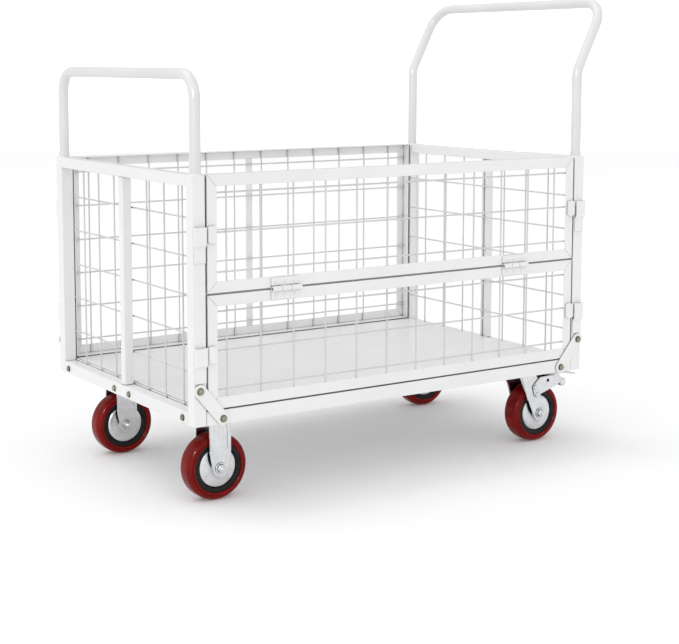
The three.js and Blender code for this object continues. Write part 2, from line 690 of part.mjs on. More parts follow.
// The foot lever of a swivel caster: two cheeks outside the fork, with a tread and a roller between.
function brakePedal(y) {
  const inner = LEG_INNER + LEG_THICKNESS + GAP;
  const outer = inner + CHEEK_THICKNESS;
  const px = PIVOT_X + BRAKE_PIVOT.x;
  const pz = BRAKE_PIVOT.z;
  const at = ([along, up]) => ({ x: px + along, z: pz + up });
  const placed = (outline) => outline.map(([along, up]) => [px + along, pz + up]);
  const outline = placed([...CHEEK_BRACKET, ...CHEEK_ARM]);
  const pieces = [
    plateXZ(outline, y - outer, y - inner),
    plateXZ(outline, y + inner, y + outer),
    plateXZ(placed(PEDAL_OUTLINE), y - outer, y + outer),
    bar("y", BRAKE_ROLLER_RADIUS, y - outer, y + outer, at(BRAKE_ROLLER), 16),
  ];
  for (const side of [-1, 1]) {
    const face = y + side * (outer - 1);
    const end = y + side * (outer + RIVET_HEAD_LENGTH);
    pieces.push(bar("y", SHOE_RIVET_RADIUS, face, end, at(SHOE_RIVET), 12));
  }
  const pivotHole = bar("y", RIVET_RADIUS + GAP, y - outer - 1, y + outer + 1, at([0, 0]), 10);
  const armHole = bar("y", ARM_HOLE_RADIUS, y - outer - 1, y + outer + 1, at(ARM_HOLE), 12);
  return join(pieces).subtract(pivotHole).subtract(armHole);
}

function wheel(name, x, y) {
  add(name + "_tread", tread(x, y), RED_TREAD);
  add(name + "_core", core(x, y), BLACK_CORE);
  add(name + "_caps", capAndSleeve(x, y), ZINC);
  add(name + "_axle", axle(x, y), ZINC);
}

// ---- assembly ----
add("deck_frame", deckFrame(), WHITE_COAT);
add("deck_sheet", deckSheet(), WHITE_COAT);
add("cross_channel_short_end", crossChannel(FIXED_X, PLATE_LENGTH + 10), WHITE_COAT);
add("cross_channel_tall_end", crossChannel(PIVOT_X, PLATE_LENGTH + 10), WHITE_COAT);
add("centre_channel", crossChannel(0, 60), WHITE_COAT);

add("short_end_frame", endFrame(-1), WHITE_COAT);
add("short_end_mesh", endMesh(-1), WHITE_WIRE);
add("short_handle", shortHandle(), WHITE_COAT);
add("tall_end_frame", endFrame(1), WHITE_COAT);
add("tall_end_mesh", endMesh(1), WHITE_WIRE);
add("tall_handle", tallHandle(), WHITE_COAT);

for (const [endName, sideX] of [["short", -1], ["tall", 1]]) {
  for (const [faceName, sideY] of [["front", -1], ["back", 1]]) {
    const corner = endName + "_" + faceName;
    add("strap_" + corner, strap(sideX, sideY), WHITE_COAT);
    add("strap_bolt_top_" + corner, strapBolt(sideX, sideY, STRAP_TOP), BOLT_STEEL);
    add("strap_bolt_foot_" + corner, strapBolt(sideX, sideY, STRAP_FOOT), BOLT_STEEL);
  }
}

add("front_lower_frame", frontLowerFrame(), WHITE_COAT);
add("front_lower_mesh", sideMesh(-1, LOWER_ROWS, PANEL_BOTTOM, SPLIT_LOW), WHITE_WIRE);
add("flap_frame", flapFrame(), WHITE_COAT);
add("flap_mesh", sideMesh(-1, FLAP_ROWS, SPLIT_HIGH, FRAME_TOP), WHITE_WIRE);
add("back_frame", backFrame(), WHITE_COAT);
add("back_mesh", sideMesh(1, BACK_ROWS, PANEL_BOTTOM, FRAME_TOP), WHITE_WIRE);

for (const [hingeName, x] of [["left", -HINGE_X], ["right", HINGE_X]]) {
  add("hinge_" + hingeName + "_flap_leaf", hingeLeaf(x, 1), WHITE_COAT);
  add("hinge_" + hingeName + "_fixed_leaf", hingeLeaf(x, -1), WHITE_COAT);
  add("hinge_" + hingeName + "_pin", hingePin(x), WHITE_COAT);
}

for (const [faceName, sideY] of [["front", -1], ["back", 1]]) {
  const y = sideY * CASTER_Y;
  add("fixed_" + faceName + "_fork", fixedFork(y), ZINC);
  wheel("fixed_" + faceName, FIXED_X, y);
  add("swivel_" + faceName + "_plate", swivelPlate(y), ZINC);
  add("swivel_" + faceName + "_fork", swivelFork(y), ZINC);
  add("swivel_" + faceName + "_pedal", brakePedal(y), ZINC);
  wheel("swivel_" + faceName, PIVOT_X + TRAIL, y);
}

// The origin is the middle of the cart's footprint, on the floor.
const bounds = new THREE.Box3().setFromObject(parts);
const middle = bounds.getCenter(new THREE.Vector3());
parts.position.set(-middle.x, -middle.y, -bounds.min.z);

export default parts;
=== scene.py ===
import math

import bmesh
import bpy
from mathutils import Matrix, Vector


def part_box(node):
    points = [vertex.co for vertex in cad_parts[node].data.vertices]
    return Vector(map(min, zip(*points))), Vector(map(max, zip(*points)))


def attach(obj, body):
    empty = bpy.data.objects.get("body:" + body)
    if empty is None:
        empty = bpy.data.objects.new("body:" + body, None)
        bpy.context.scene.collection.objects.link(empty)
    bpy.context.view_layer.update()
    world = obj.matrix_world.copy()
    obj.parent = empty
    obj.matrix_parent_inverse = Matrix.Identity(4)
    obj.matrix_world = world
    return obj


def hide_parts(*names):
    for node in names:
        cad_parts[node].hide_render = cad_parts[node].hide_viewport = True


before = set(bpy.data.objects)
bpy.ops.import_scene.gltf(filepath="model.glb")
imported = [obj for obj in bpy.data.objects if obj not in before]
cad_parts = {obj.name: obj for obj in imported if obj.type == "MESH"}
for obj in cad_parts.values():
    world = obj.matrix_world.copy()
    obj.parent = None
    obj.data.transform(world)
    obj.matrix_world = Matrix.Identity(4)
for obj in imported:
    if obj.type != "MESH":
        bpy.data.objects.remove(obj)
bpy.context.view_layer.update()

# ---- where things are ----
MM = 0.001
short_low, short_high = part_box("short_end_frame")
tall_low, tall_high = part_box("tall_end_frame")
MIDDLE = Vector(((short_low.x + tall_high.x) / 2, (short_low.y + short_high.y) / 2, 0.0))


def mm_box(node):
    """Lowest and highest corner of a CAD node in the cart's millimetres."""
    low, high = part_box(node)
    return (low - MIDDLE) / MM, (high - MIDDLE) / MM


HALF_LENGTH = (tall_high.x - short_low.x) / MM / 2
HALF_WIDTH = mm_box("deck_frame")[1].y
DECK_Z = mm_box("deck_frame")[0].z
FRAME_TOP = mm_box("short_end_frame")[1].z
POST = 30.0
RAIL = 25.0
TUBE_RADIUS = 12.5
WIRE_RADIUS = 2.0
STEEL = 3.0
SEAM = 1.2  # how far a panel's drawn edge stands back from the part beside it
WHEEL_RADIUS = mm_box("fixed_front_tread")[1].z / 2
FIXED_X = (mm_box("fixed_front_tread")[0].x + mm_box("fixed_front_tread")[1].x) / 2
SWIVEL_WHEEL_X = (mm_box("swivel_front_tread")[0].x + mm_box("swivel_front_tread")[1].x) / 2
PIVOT_X = (mm_box("swivel_front_plate")[0].x + mm_box("swivel_front_plate")[1].x) / 2
CASTER_Y = (mm_box("fixed_back_tread")[0].y + mm_box("fixed_back_tread")[1].y) / 2
PANEL_HALF = mm_box("flap_frame")[1].x
PANEL_BOTTOM = mm_box("front_lower_frame")[0].z
SPLIT_LOW = mm_box("front_lower_frame")[1].z
SPLIT_HIGH = mm_box("flap_frame")[0].z
HINGE_Z = (SPLIT_LOW + SPLIT_HIGH) / 2
HINGE_Y = (mm_box("hinge_left_pin")[0].y + mm_box("hinge_left_pin")[1].y) / 2
HINGE_XS = {
    side: sum(p.x for p in mm_box("hinge_" + side + "_flap_leaf")) / 2 for side in ("left", "right")
}
MESH_ROWS_LOW = [74.5, 159.0, 243.0]
MESH_ROWS_HIGH = [327.0, 412.0, 496.0]
END_ROWS = [103.0, 187.0, 271.0, 355.0, 438.0]
END_COLUMNS = [-252.0, -168.0, -84.0, 0.0, 84.0, 168.0, 252.0]
SIDE_COLUMNS = [-467.0 + 84.0 * i for i in range(12)]
CLIP_LOW = 94.0  # foot of each post clip above the deck's underside
CLIP_HIGH = 350.0
RAIL_BOLT_YS = (-298.0, -38.0, 38.0, 298.0)
STRAP_TOP = (537.0, 78.0)  # end of a corner strap: along the cart, and above the deck's underside
STRAP_FOOT = (482.0, 13.0)
STRAP_RADIUS = 14.5
STRAP_STAND_OFF = 1.4
LEAF_HALF = 35.0
LEAF_THICKNESS = 2.4
SCREW_OFFSETS = (-24.0, 0.0, 24.0)
LEG_INNER = 30.0  # faces of a fork leg, from the middle of its wheel
LEG_OUTER = 33.5
LEG_HALF = 27.0
AXLE_EYE = 20.0
FIXED_SHOULDER_Z = 112.0  # below this a fixed fork's legs narrow to the axle
PLATE_HALF_X = 55.0
PLATE_HALF_Y = 46.0
CROWN_DROP = 11.0
BRAKE_PIVOT = (27.0, 144.0)  # from the swivel axis, and above the floor
CHEEK_INNER = 33.9
CHEEK_OUTER = 36.3
ENDS = (("short", -1), ("tall", 1))
FACES = (("front", -1), ("back", 1))


# ---- materials ----
class Nodes:
    """A small helper to build a shader from linked nodes."""

    def __init__(self, name):
        self.material = bpy.data.materials.new(name)
        self.material.use_nodes = True
        self.tree = self.material.node_tree
        self.shader = self.tree.nodes["Principled BSDF"]
        self.coordinates = self.tree.nodes.new("ShaderNodeTexCoord").outputs["Object"]

    def noise(self, scale, detail=3.0, roughness=0.5, stretch=None):
        node = self.tree.nodes.new("ShaderNodeTexNoise")
        node.inputs["Scale"].default_value = scale
        node.inputs["Detail"].default_value = detail
        node.inputs["Roughness"].default_value = roughness
        source = self.coordinates
        if stretch:
            mapping = self.tree.nodes.new("ShaderNodeMapping")
            mapping.inputs["Scale"].default_value = stretch
            self.tree.links.new(source, mapping.inputs["Vector"])
            source = mapping.outputs["Vector"]
        self.tree.links.new(source, node.inputs["Vector"])
        return node.outputs["Fac"]

    def ramp(self, factor, stops):
        node = self.tree.nodes.new("ShaderNodeValToRGB")
        elements = node.color_ramp.elements
        while len(elements) < len(stops):
            elements.new(0.5)
        for element, (position, colour) in zip(elements, stops):
            element.position = position
            element.color = (*colour, 1.0)
        self.tree.links.new(factor, node.inputs["Fac"])
        return node.outputs["Color"]

    def span(self, factor, low, high):
        node = self.tree.nodes.new("ShaderNodeMapRange")
        node.inputs["To Min"].default_value = low
        node.inputs["To Max"].default_value = high
        self.tree.links.new(factor, node.inputs["Value"])
        return node.outputs["Result"]

    def with_painted_shade(self, colour, shade, reach, closed, clear):
        """Painted shade: the colour, sinking to the dark shade colour in seams and corners narrower than the
        reach in metres.
        """
        corner = self.tree.nodes.new("ShaderNodeAmbientOcclusion")
        corner.samples = 6
        corner.inputs["Distance"].default_value = reach
        openness = self.tree.nodes.new("ShaderNodeMapRange")
        openness.inputs["From Min"].default_value = closed
        openness.inputs["From Max"].default_value = clear
        mix = self.tree.nodes.new("ShaderNodeMix")
        mix.data_type = "RGBA"
        mix.inputs["A"].default_value = (*shade, 1.0)
        self.tree.links.new(corner.outputs["AO"], openness.inputs["Value"])
        self.tree.links.new(openness.outputs["Result"], mix.inputs["Factor"])
        self.tree.links.new(colour, mix.inputs["B"])
        return mix.outputs["Result"]

    def bump(self, height, strength, distance=0.001):
        node = self.tree.nodes.new("ShaderNodeBump")
        node.inputs["Strength"].default_value = strength
        node.inputs["Distance"].default_value = distance
        self.tree.links.new(height, node.inputs["Height"])
        self.tree.links.new(node.outputs["Normal"], self.shader.inputs["Normal"])

    def link(self, output, socket):
        self.tree.links.new(output, self.shader.inputs[socket])

    def set(self, socket, value):
        self.shader.inputs[socket].default_value = value


def powder_coat(name, light, dark, orange_peel):
    """Glossy powder coat: a nearly even colour with fine orange peel and a clear, soft sheen, with painted
    shade in its seams and corners.
    """
    n = Nodes(name)
    coat = n.ramp(n.noise(6.0, 4.0), [(0.35, dark), (0.65, light)])
    # painted shade: the base colour sinks to near black in seams and corners narrower than 7 mm
    n.link(n.with_painted_shade(coat, (0.06, 0.06, 0.06), 0.007, 0.25, 0.6), "Base Color")
    n.link(n.span(n.noise(40.0, 4.0), 0.26, 0.36), "Roughness")
    n.bump(n.noise(900.0, 2.0), orange_peel, 0.0004)
    n.set("Coat Weight", 0.25)
    n.set("Coat Roughness", 0.12)
    return n.material


def zinc_plate(name, light, dark, rough_low, rough_high):
    """Bright zinc: faint cloudy blotches and small differences in polish, with painted shade in its recesses.
    """
    n = Nodes(name)
    plating = n.ramp(n.noise(55.0, 6.0, 0.6), [(0.3, dark), (0.7, light)])
    # painted shade: the plating sinks to near black in recesses narrower than 30 mm, such as between the fork
    # legs
    n.link(n.with_painted_shade(plating, (0.02, 0.02, 0.02), 0.03, 0.3, 0.8), "Base Color")
    n.link(n.span(n.noise(160.0, 5.0, 0.6), rough_low, rough_high), "Roughness")
    n.bump(n.noise(420.0, 4.0), 0.12, 0.0004)
    n.set("Metallic", 1.0)
    return n.material


def polyurethane(name):
    """Glossy dark red tread, slightly cloudy, with faint turning marks round the wheel."""
    n = Nodes(name)
    dark, light = (0.15, 0.004, 0.003), (0.22, 0.007, 0.005)
    n.link(n.ramp(n.noise(18.0, 5.0), [(0.3, dark), (0.7, light)]), "Base Color")
    n.link(n.span(n.noise(70.0, 5.0), 0.16, 0.3), "Roughness")
    n.bump(n.noise(30.0, 3.0, stretch=(1.0, 30.0, 1.0)), 0.06, 0.0006)
    n.set("Specular IOR Level", 0.08)
    n.set("Coat Weight", 0.1)
    n.set("Coat Roughness", 0.08)
    n.set("Subsurface Weight", 0.05)
    n.set("Subsurface Scale", 0.004)
    return n.material


def black_moulding(name):
    n = Nodes(name)
    dark, light = (0.006, 0.006, 0.006), (0.014, 0.014, 0.014)
    n.link(n.ramp(n.noise(60.0, 5.0), [(0.3, dark), (0.7, light)]), "Base Color")
    n.link(n.span(n.noise(120.0, 4.0), 0.32, 0.5), "Roughness")
    n.bump(n.noise(700.0, 3.0), 0.15, 0.0004)
    n.set("Specular IOR Level", 0.2)
    return n.material


def studio_paper(name, glow):
    n = Nodes(name)
    n.link(n.ramp(n.noise(0.6, 3.0), [(0.3, (0.83, 0.83, 0.83)), (0.7, (0.85, 0.85, 0.85))]), "Base Color")
    n.link(n.span(n.noise(3.0, 3.0), 0.75, 0.85), "Roughness")
    n.set("Emission Color", (1.0, 1.0, 1.0, 1.0))
    n.set("Emission Strength", glow)
    return n.material


WHITE = powder_coat("white_coat", (0.80, 0.80, 0.80), (0.77, 0.77, 0.772), 0.10)
# painted shade: the handle tubes have the frames' white powder coat, drawn darker to stand in for the shading
# of round tubes
TUBE_WHITE_PAINTED_SHADE = powder_coat("white_tube_painted_shade", (0.71, 0.71, 0.715), (0.67, 0.67, 0.675), 0.10)
# painted shade: the wires have the frames' white powder coat, drawn darker to stand in for the shading of
# thin round bars
WIRE_WHITE_PAINTED_SHADE = powder_coat("white_wire", (0.62, 0.62, 0.625), (0.57, 0.57, 0.575), 0.10)
ZINC = zinc_plate("zinc", (0.75, 0.76, 0.77), (0.63, 0.64, 0.655), 0.16, 0.34)
BOLT = zinc_plate("bolt_steel", (0.36, 0.34, 0.27), (0.2, 0.19, 0.15), 0.25, 0.42)
RED = polyurethane("red_tread")
BLACK = black_moulding("black_core")
FLOOR = studio_paper("studio_floor", 0.08)
BACKDROP = studio_paper("studio_backdrop", 0.7)


# ---- making pieces ----
def add_piece(name, bm, material, body, replaces=(), bevel=0.0, smooth_degrees=40.0):
    """Turns a millimetre bmesh into a piece that rides on a body."""
    bmesh.ops.recalc_face_normals(bm, faces=bm.faces)
    bm.transform(Matrix.Translation(MIDDLE) @ Matrix.Scale(MM, 4))
    mesh = bpy.data.meshes.new(name)
    bm.to_mesh(mesh)
    bm.free()
    mesh.materials.append(material)
    mesh.shade_smooth()
    mesh.set_sharp_from_angle(angle=math.radians(smooth_degrees))
    piece = bpy.data.objects.new(name, mesh)
    bpy.context.scene.collection.objects.link(piece)
    if bevel:
        add_bevel(piece, bevel)
    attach(piece, body)
    if replaces:
        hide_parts(*replaces)
    return piece


def add_bevel(piece, width_mm, segments=3):
    edge = piece.modifiers.new("rounded_edges", "BEVEL")
    edge.width = width_mm * MM
    edge.segments = segments
    edge.limit_method = "ANGLE"
    edge.angle_limit = math.radians(38)
    edge.harden_normals = True


def add_box(bm, x0, x1, y0, y1, z0, z1):
    size = Vector((abs(x1 - x0), abs(y1 - y0), abs(z1 - z0)))
    centre = Vector(((x0 + x1) / 2, (y0 + y1) / 2, (z0 + z1) / 2))
    matrix = Matrix.Translation(centre) @ Matrix.Diagonal((*size, 1.0))
    return bmesh.ops.create_cube(bm, size=1.0, matrix=matrix)["verts"]


def frame_along(points):
    """A direction and a steady sideways vector at each point of a polyline."""
    ways = []
    for i, point in enumerate(points):
        before = points[max(i - 1, 0)]
        after = points[min(i + 1, len(points) - 1)]
        ways.append((after - before).normalized())
    side = ways[0].orthogonal().normalized()
    sides = [side]
    for a, b in zip(ways, ways[1:]):
        side = a.rotation_difference(b) @ side
        sides.append((side - b * side.dot(b)).normalized())
    return ways, sides


def add_rod(bm, points, radius, sides=12):
    """A round bar along a polyline, closed at both ends."""
    points = [Vector(p) for p in points]
    ways, across = frame_along(points)
    rings = []
    for point, way, side in zip(points, ways, across):
        other = way.cross(side)
        ring = []
        for k in range(sides):
            angle = 2 * math.pi * k / sides
            offset = side * math.cos(angle) + other * math.sin(angle)
            ring.append(bm.verts.new(point + offset * radius))
        rings.append(ring)
    for a, b in zip(rings, rings[1:]):
        for k in range(sides):
            bm.faces.new((a[k], a[(k + 1) % sides], b[(k + 1) % sides], b[k]))
    bm.faces.new(list(reversed(rings[0])))
    bm.faces.new(rings[-1])


def turned_point(axis, centre, radius, height, angle):
    c = math.cos(angle) * radius
    s = math.sin(angle) * radius
    offset = {"x": (height, c, s), "y": (c, height, s), "z": (c, s, height)}[axis]
    return Vector(centre) + Vector(offset)


def add_turned(bm, profile, axis, centre, sides=64, closed=True):
    """A ring or solid turned about an axis; the profile is (radius, height) points."""
    rings = []
    for radius, height in profile:
        if radius < 1e-6:
            rings.append([bm.verts.new(turned_point(axis, centre, 0.0, height, 0.0))])
            continue
        angles = [2 * math.pi * k / sides for k in range(sides)]
        rings.append([bm.verts.new(turned_point(axis, centre, radius, height, a)) for a in angles])
    pairs = list(zip(rings, rings[1:]))
    if closed:
        pairs.append((rings[-1], rings[0]))
    for a, b in pairs:
        if len(a) == 1 and len(b) == 1:
            continue
        for k in range(sides):
            m = (k + 1) % sides
            if len(a) == 1:
                bm.faces.new((a[0], b[m], b[k]))
            elif len(b) == 1:
                bm.faces.new((a[k], a[m], b[0]))
            else:
                bm.faces.new((a[k], a[m], b[m], b[k]))


def add_plate(bm, outline, axis, low, high):
    """A flat plate: an outline of two coordinates, thick along the axis.
    Coordinates are (x, z) for y, (y, z) for x and (x, y) for z."""

    def point(u, v, w):
        return {"y": (u, w, v), "x": (w, u, v), "z": (u, v, w)}[axis]

    bottom = [bm.verts.new(point(u, v, low)) for u, v in outline]
    top = [bm.verts.new(point(u, v, high)) for u, v in outline]
    bm.faces.new(bottom)
    bm.faces.new(list(reversed(top)))
    count = len(outline)
    for k in range(count):
        m = (k + 1) % count
        bm.faces.new((bottom[k], bottom[m], top[m], top[k]))


def arc(cx, cy, radius, start, end, steps=12):
    angles = [math.radians(start + (end - start) * k / steps) for k in range(steps + 1)]
    return [(cx + radius * math.cos(a), cy + radius * math.sin(a)) for a in angles]


def rounded_rectangle(u0, u1, v0, v1, radius, steps=5):
    points = arc(u1 - radius, v1 - radius, radius, 0, 90, steps)
    points += arc(u0 + radius, v1 - radius, radius, 90, 180, steps)
    points += arc(u0 + radius, v0 + radius, radius, 180, 270, steps)
    points += arc(u1 - radius, v0 + radius, radius, 270, 360, steps)
    return points


def bent_line(corners, bends, steps=14):
    """Points along straight runs joined by arcs of the given radii."""
    corners = [Vector(c) for c in corners]
    points = [corners[0]]
    for i, radius in enumerate(bends, start=1):
        a = (corners[i] - corners[i - 1]).normalized()
        b = (corners[i + 1] - corners[i]).normalized()
        turn = a.angle(b)
        inward = (b - a * math.cos(turn)).normalized()
        start = corners[i] - a * (radius * math.tan(turn / 2))
        centre = start + inward * radius
        for k in range(steps + 1):
            t = turn * k / steps
            points.append(centre - inward * (radius * math.cos(t)) + a * (radius * math.sin(t)))
    points.append(corners[-1])
    return points


# ---- deck ----
def dress(node, material, bevel):
    """Keeps a CAD node as it is shown, with welded corners, rounded edges and its finish."""
    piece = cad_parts[node]
    piece.data.materials.clear()
    piece.data.materials.append(material)
    weld = piece.modifiers.new("weld", "WELD")
    weld.merge_threshold = 0.00002
    flat = piece.modifiers.new("flat_faces", "DECIMATE")
    flat.decimate_type = "DISSOLVE"
    flat.angle_limit = math.radians(2)
    if bevel:
        add_bevel(piece, bevel)


def build_deck():
    dress("deck_sheet", WHITE, 0.6)
    for node in ("cross_channel_short_end", "cross_channel_tall_end", "centre_channel"):
        dress(node, WHITE, 0.8)
    dress("deck_frame", WHITE, 1.6)


# ---- end frames ----
def add_hex_bolt(bm, axis, centre, outward, head_radius=7.3, height=5.0, washer=9.0):
    """A washer and a domed hex head standing on a face at the centre."""
    s = outward
    add_turned(bm, [(0, 0), (washer, 0), (washer, s * 1.2), (0, s * 1.2)], axis, centre, 24, closed=False)
    low = s * 1.2
    add_turned(bm, [(0, low), (head_radius, low), (head_radius, s * (height - 0.9)),
                    (head_radius - 1.3, s * height), (0, s * (height + 0.35))], axis, centre, 6, closed=False)


def pocket_clip(bm, side_x, side_y, base):
    """A pressed clip on a post: flat foot, a jog, and a bulged pocket open at the top."""
    face = side_y * HALF_WIDTH
    outer = side_x * (HALF_LENGTH - 1.0)
    inner = side_x * (HALF_LENGTH - 29.0)
    foot = DECK_Z + base
    floor = foot + 35.0
    top = floor + 41.0
    proud = 9.0
    side = [(0.2, foot), (0.2, floor - 2), (proud - STEEL, floor + 5), (proud - STEEL, top),
            (proud, top), (proud, floor + 3), (STEEL, floor - 4), (STEEL, foot)]
    outline = [(face + side_y * d, z) for d, z in side]
    add_plate(bm, outline, "x", min(outer, inner), max(outer, inner))
    wall = sorted((outer, outer - side_x * STEEL))
    cheek = [(0.2, floor - 2), (0.2, top), (proud - 1, top), (proud - 1, floor + 4)]
    add_plate(bm, [(face + side_y * d, z) for d, z in cheek], "x", *wall)


def end_frame(end, side_x):
    body = "cart"
    outer = side_x * HALF_LENGTH
    inner = side_x * (HALF_LENGTH - POST)
    bm = bmesh.new()
    for side_y in (-1, 1):
        add_box(bm, outer, inner, side_y * HALF_WIDTH, side_y * (HALF_WIDTH - POST), DECK_Z, FRAME_TOP)
    rail_y = HALF_WIDTH - POST
    add_box(bm, outer, inner, -rail_y, rail_y, FRAME_TOP - RAIL, FRAME_TOP)
    add_box(bm, outer, inner, -rail_y, rail_y, DECK_Z, DECK_Z + RAIL + 3)
    stile = side_x * (HALF_LENGTH - POST / 2)
    add_box(bm, stile - 11, stile + 11, -11, 11, DECK_Z + RAIL + 3, FRAME_TOP - RAIL)
    add_piece(end + "_end_tubes", bm, WHITE, body, replaces=(end + "_end_frame",), bevel=2.2)

    clips = bmesh.new()
    for side_y in (-1, 1):
        for base in (CLIP_LOW, CLIP_HIGH):
            pocket_clip(clips, side_x, side_y, base)
    add_piece(end + "_end_clips", clips, WHITE, body, bevel=1.0)

    beads = bmesh.new()
    handle_x = side_x * (HALF_LENGTH - POST / 2)
    for side_y in (-1, 1):
        centre = (handle_x, side_y * (HALF_WIDTH - POST / 2), FRAME_TOP - 0.6)
        steps = [(-0.5, 0), (1.8, 0), (1.4, 1.4), (-0.2, 2.6)]
        ring = [(TUBE_RADIUS + proud, height) for proud, height in steps]
        add_turned(beads, ring, "z", centre, 32)
    add_piece(end + "_handle_welds", beads, WHITE, body)

    bolts = bmesh.new()
    for y in RAIL_BOLT_YS:
        add_hex_bolt(bolts, "x", (outer + side_x * 0.1, y, DECK_Z + 13), side_x, 6.4, 4.6, 7.6)
    add_piece(end + "_rail_bolts", bolts, BOLT, body, bevel=0.35)


def wire_grid(name, body, node, columns, rows, corner, plane_outer, plane_inner):
    """Round wires crossed and welded. Columns stand in one plane and rows lie in the next."""
    bm = bmesh.new()
    point, low, high, start, end = corner
    for u in columns:
        add_rod(bm, [point(u, low, plane_outer), point(u, high, plane_outer)], WIRE_RADIUS, 12)
    for v in rows:
        add_rod(bm, [point(start, v, plane_inner), point(end, v, plane_inner)], WIRE_RADIUS, 12)
    middle = (plane_outer + plane_inner) / 2
    for u in columns:
        for v in rows:
            matrix = Matrix.Translation(point(u, v, middle)) @ Matrix.Scale(2.5, 4)
            bmesh.ops.create_icosphere(bm, subdivisions=2, radius=1.0, matrix=matrix)
    add_piece(name, bm, WIRE_WHITE_PAINTED_SHADE, body, replaces=(node,))


def end_wires(end, side_x):
    low, high = DECK_Z + RAIL, FRAME_TOP - RAIL
    half = HALF_WIDTH - POST
    plane = side_x * (HALF_LENGTH - POST + 1.9)

    def point(y, z, x):
        return Vector((x, y, z))

    rows = [DECK_Z + row for row in END_ROWS]
    wire_grid(end + "_end_wires", "cart", end + "_end_mesh", END_COLUMNS, rows,
              (point, low, high, -half, half), plane, plane - side_x * 3.2)


def side_wires(name, body, node, side_y, rows, low, high):
    half = PANEL_HALF - STEEL
    plane = side_y * (HALF_WIDTH - STEEL - WIRE_RADIUS - 0.1)

    def point(x, z, y):
        return Vector((x, y, z))

    heights = [DECK_Z + row for row in rows]
    wire_grid(name, body, node, SIDE_COLUMNS, heights,
              (point, low + STEEL, high - STEEL, -half, half), plane, plane - side_y * 3.2)


# ---- handles ----
def build_handles():
    x = HALF_LENGTH - POST / 2
    y = HALF_WIDTH - POST / 2
    low = FRAME_TOP - 40
    top = mm_box("short_handle")[1].z - TUBE_RADIUS
    bm = bmesh.new()
    corners = [(-x, -y, low), (-x, -y, top), (-x, y, top), (-x, y, low)]
    add_rod(bm, bent_line(corners, [52, 52]), TUBE_RADIUS, 40)
    add_piece("short_handle_tube", bm, TUBE_WHITE_PAINTED_SHADE, "cart", replaces=("short_handle",))

    knee = DECK_Z + 745
    top = mm_box("tall_handle")[1].z - TUBE_RADIUS
    out = mm_box("tall_handle")[1].x - TUBE_RADIUS
    bm = bmesh.new()
    corners = [(x, -y, low), (x, -y, knee), (out, -y, top), (out, y, top), (x, y, knee), (x, y, low)]
    add_rod(bm, bent_line(corners, [60, 62, 62, 60]), TUBE_RADIUS, 40)
    add_piece("tall_handle_tube", bm, TUBE_WHITE_PAINTED_SHADE, "cart", replaces=("tall_handle",))


# ---- side panels ----
def panel_frame(name, body, node, side_y, low, high, stile=False):
    """Mitred angle steel: four faces towards the outside and a flange turned inwards."""
    bm = bmesh.new()
    face = side_y * HALF_WIDTH
    back = face - side_y * STEEL
    deep = face - side_y * RAIL
    x = PANEL_HALF - SEAM
    edge = PANEL_HALF - RAIL
    corners = [(-x, low), (x, low), (x, high), (-x, high)]
    inner = [(-edge, low + RAIL), (edge, low + RAIL), (edge, high - RAIL), (-edge, high - RAIL)]
    for k in range(4):
        m = (k + 1) % 4
        outline = [corners[k], corners[m], inner[m], inner[k]]
        add_plate(bm, outline, "y", min(face, back), max(face, back))
    add_box(bm, -x, -x + STEEL, back, deep, low, high)
    add_box(bm, x - STEEL, x, back, deep, low, high)
    add_box(bm, -x + STEEL, x - STEEL, back, deep, low, low + STEEL)
    add_box(bm, -x + STEEL, x - STEEL, back, deep, high - STEEL, high)
    if stile:
        add_box(bm, -10, 10, face, back, low + RAIL, high - RAIL)
    add_piece(name, bm, WHITE, body, replaces=(node,), bevel=1.3)


def panel_hooks(name, body, side_y, bases, tongue):
    """Pressed hooks on the stiles: a rounded bulged tab, and a tongue behind the post's pocket."""
    bm = bmesh.new()
    face = side_y * HALF_WIDTH
    for side_x in (-1, 1):
        for base in bases:
            low = DECK_Z + base + 42.0
            high = low + 34.0
            edge = side_x * PANEL_HALF
            root = edge - side_x * 21.0
            u0, u1 = sorted((edge - side_x * 0.4, root))
            outline = rounded_rectangle(u0, u1, low - 1.5, high + 1.5, 6.0)
            add_plate(bm, outline, "y", *sorted((face + side_y * 0.1, face + side_y * 6.8)))
            if tongue:
                tip = edge + side_x * 12.5
                y0, y1 = sorted((face + side_y * 1.5, face + side_y * 4.5))
                add_box(bm, *sorted((edge - side_x, tip)), y0, y1, low, high)
    add_piece(name, bm, WHITE, body, bevel=1.6)


def build_panels():
    low, high = PANEL_BOTTOM + SEAM, SPLIT_LOW - SEAM
    panel_frame("front_lower_angles", "front_panel", "front_lower_frame", -1, low, high)
    panel_frame("flap_angles", "flap", "flap_frame", -1, SPLIT_HIGH + SEAM, FRAME_TOP)
    panel_frame("back_angles", "back_panel", "back_frame", 1, PANEL_BOTTOM + SEAM, FRAME_TOP, stile=True)
    panel_hooks("front_lower_hooks", "front_panel", -1, [CLIP_LOW], True)
    panel_hooks("flap_tabs", "flap", -1, [CLIP_HIGH], False)
    panel_hooks("back_hooks", "back_panel", 1, [CLIP_LOW, CLIP_HIGH], True)
    side_wires("front_lower_wires", "front_panel", "front_lower_mesh", -1, MESH_ROWS_LOW,
               PANEL_BOTTOM, SPLIT_LOW)
    side_wires("flap_wires", "flap", "flap_mesh", -1, MESH_ROWS_HIGH, SPLIT_HIGH, FRAME_TOP)
    all_rows = MESH_ROWS_LOW + MESH_ROWS_HIGH
    side_wires("back_wires", "back_panel", "back_mesh", 1, all_rows, PANEL_BOTTOM, FRAME_TOP)


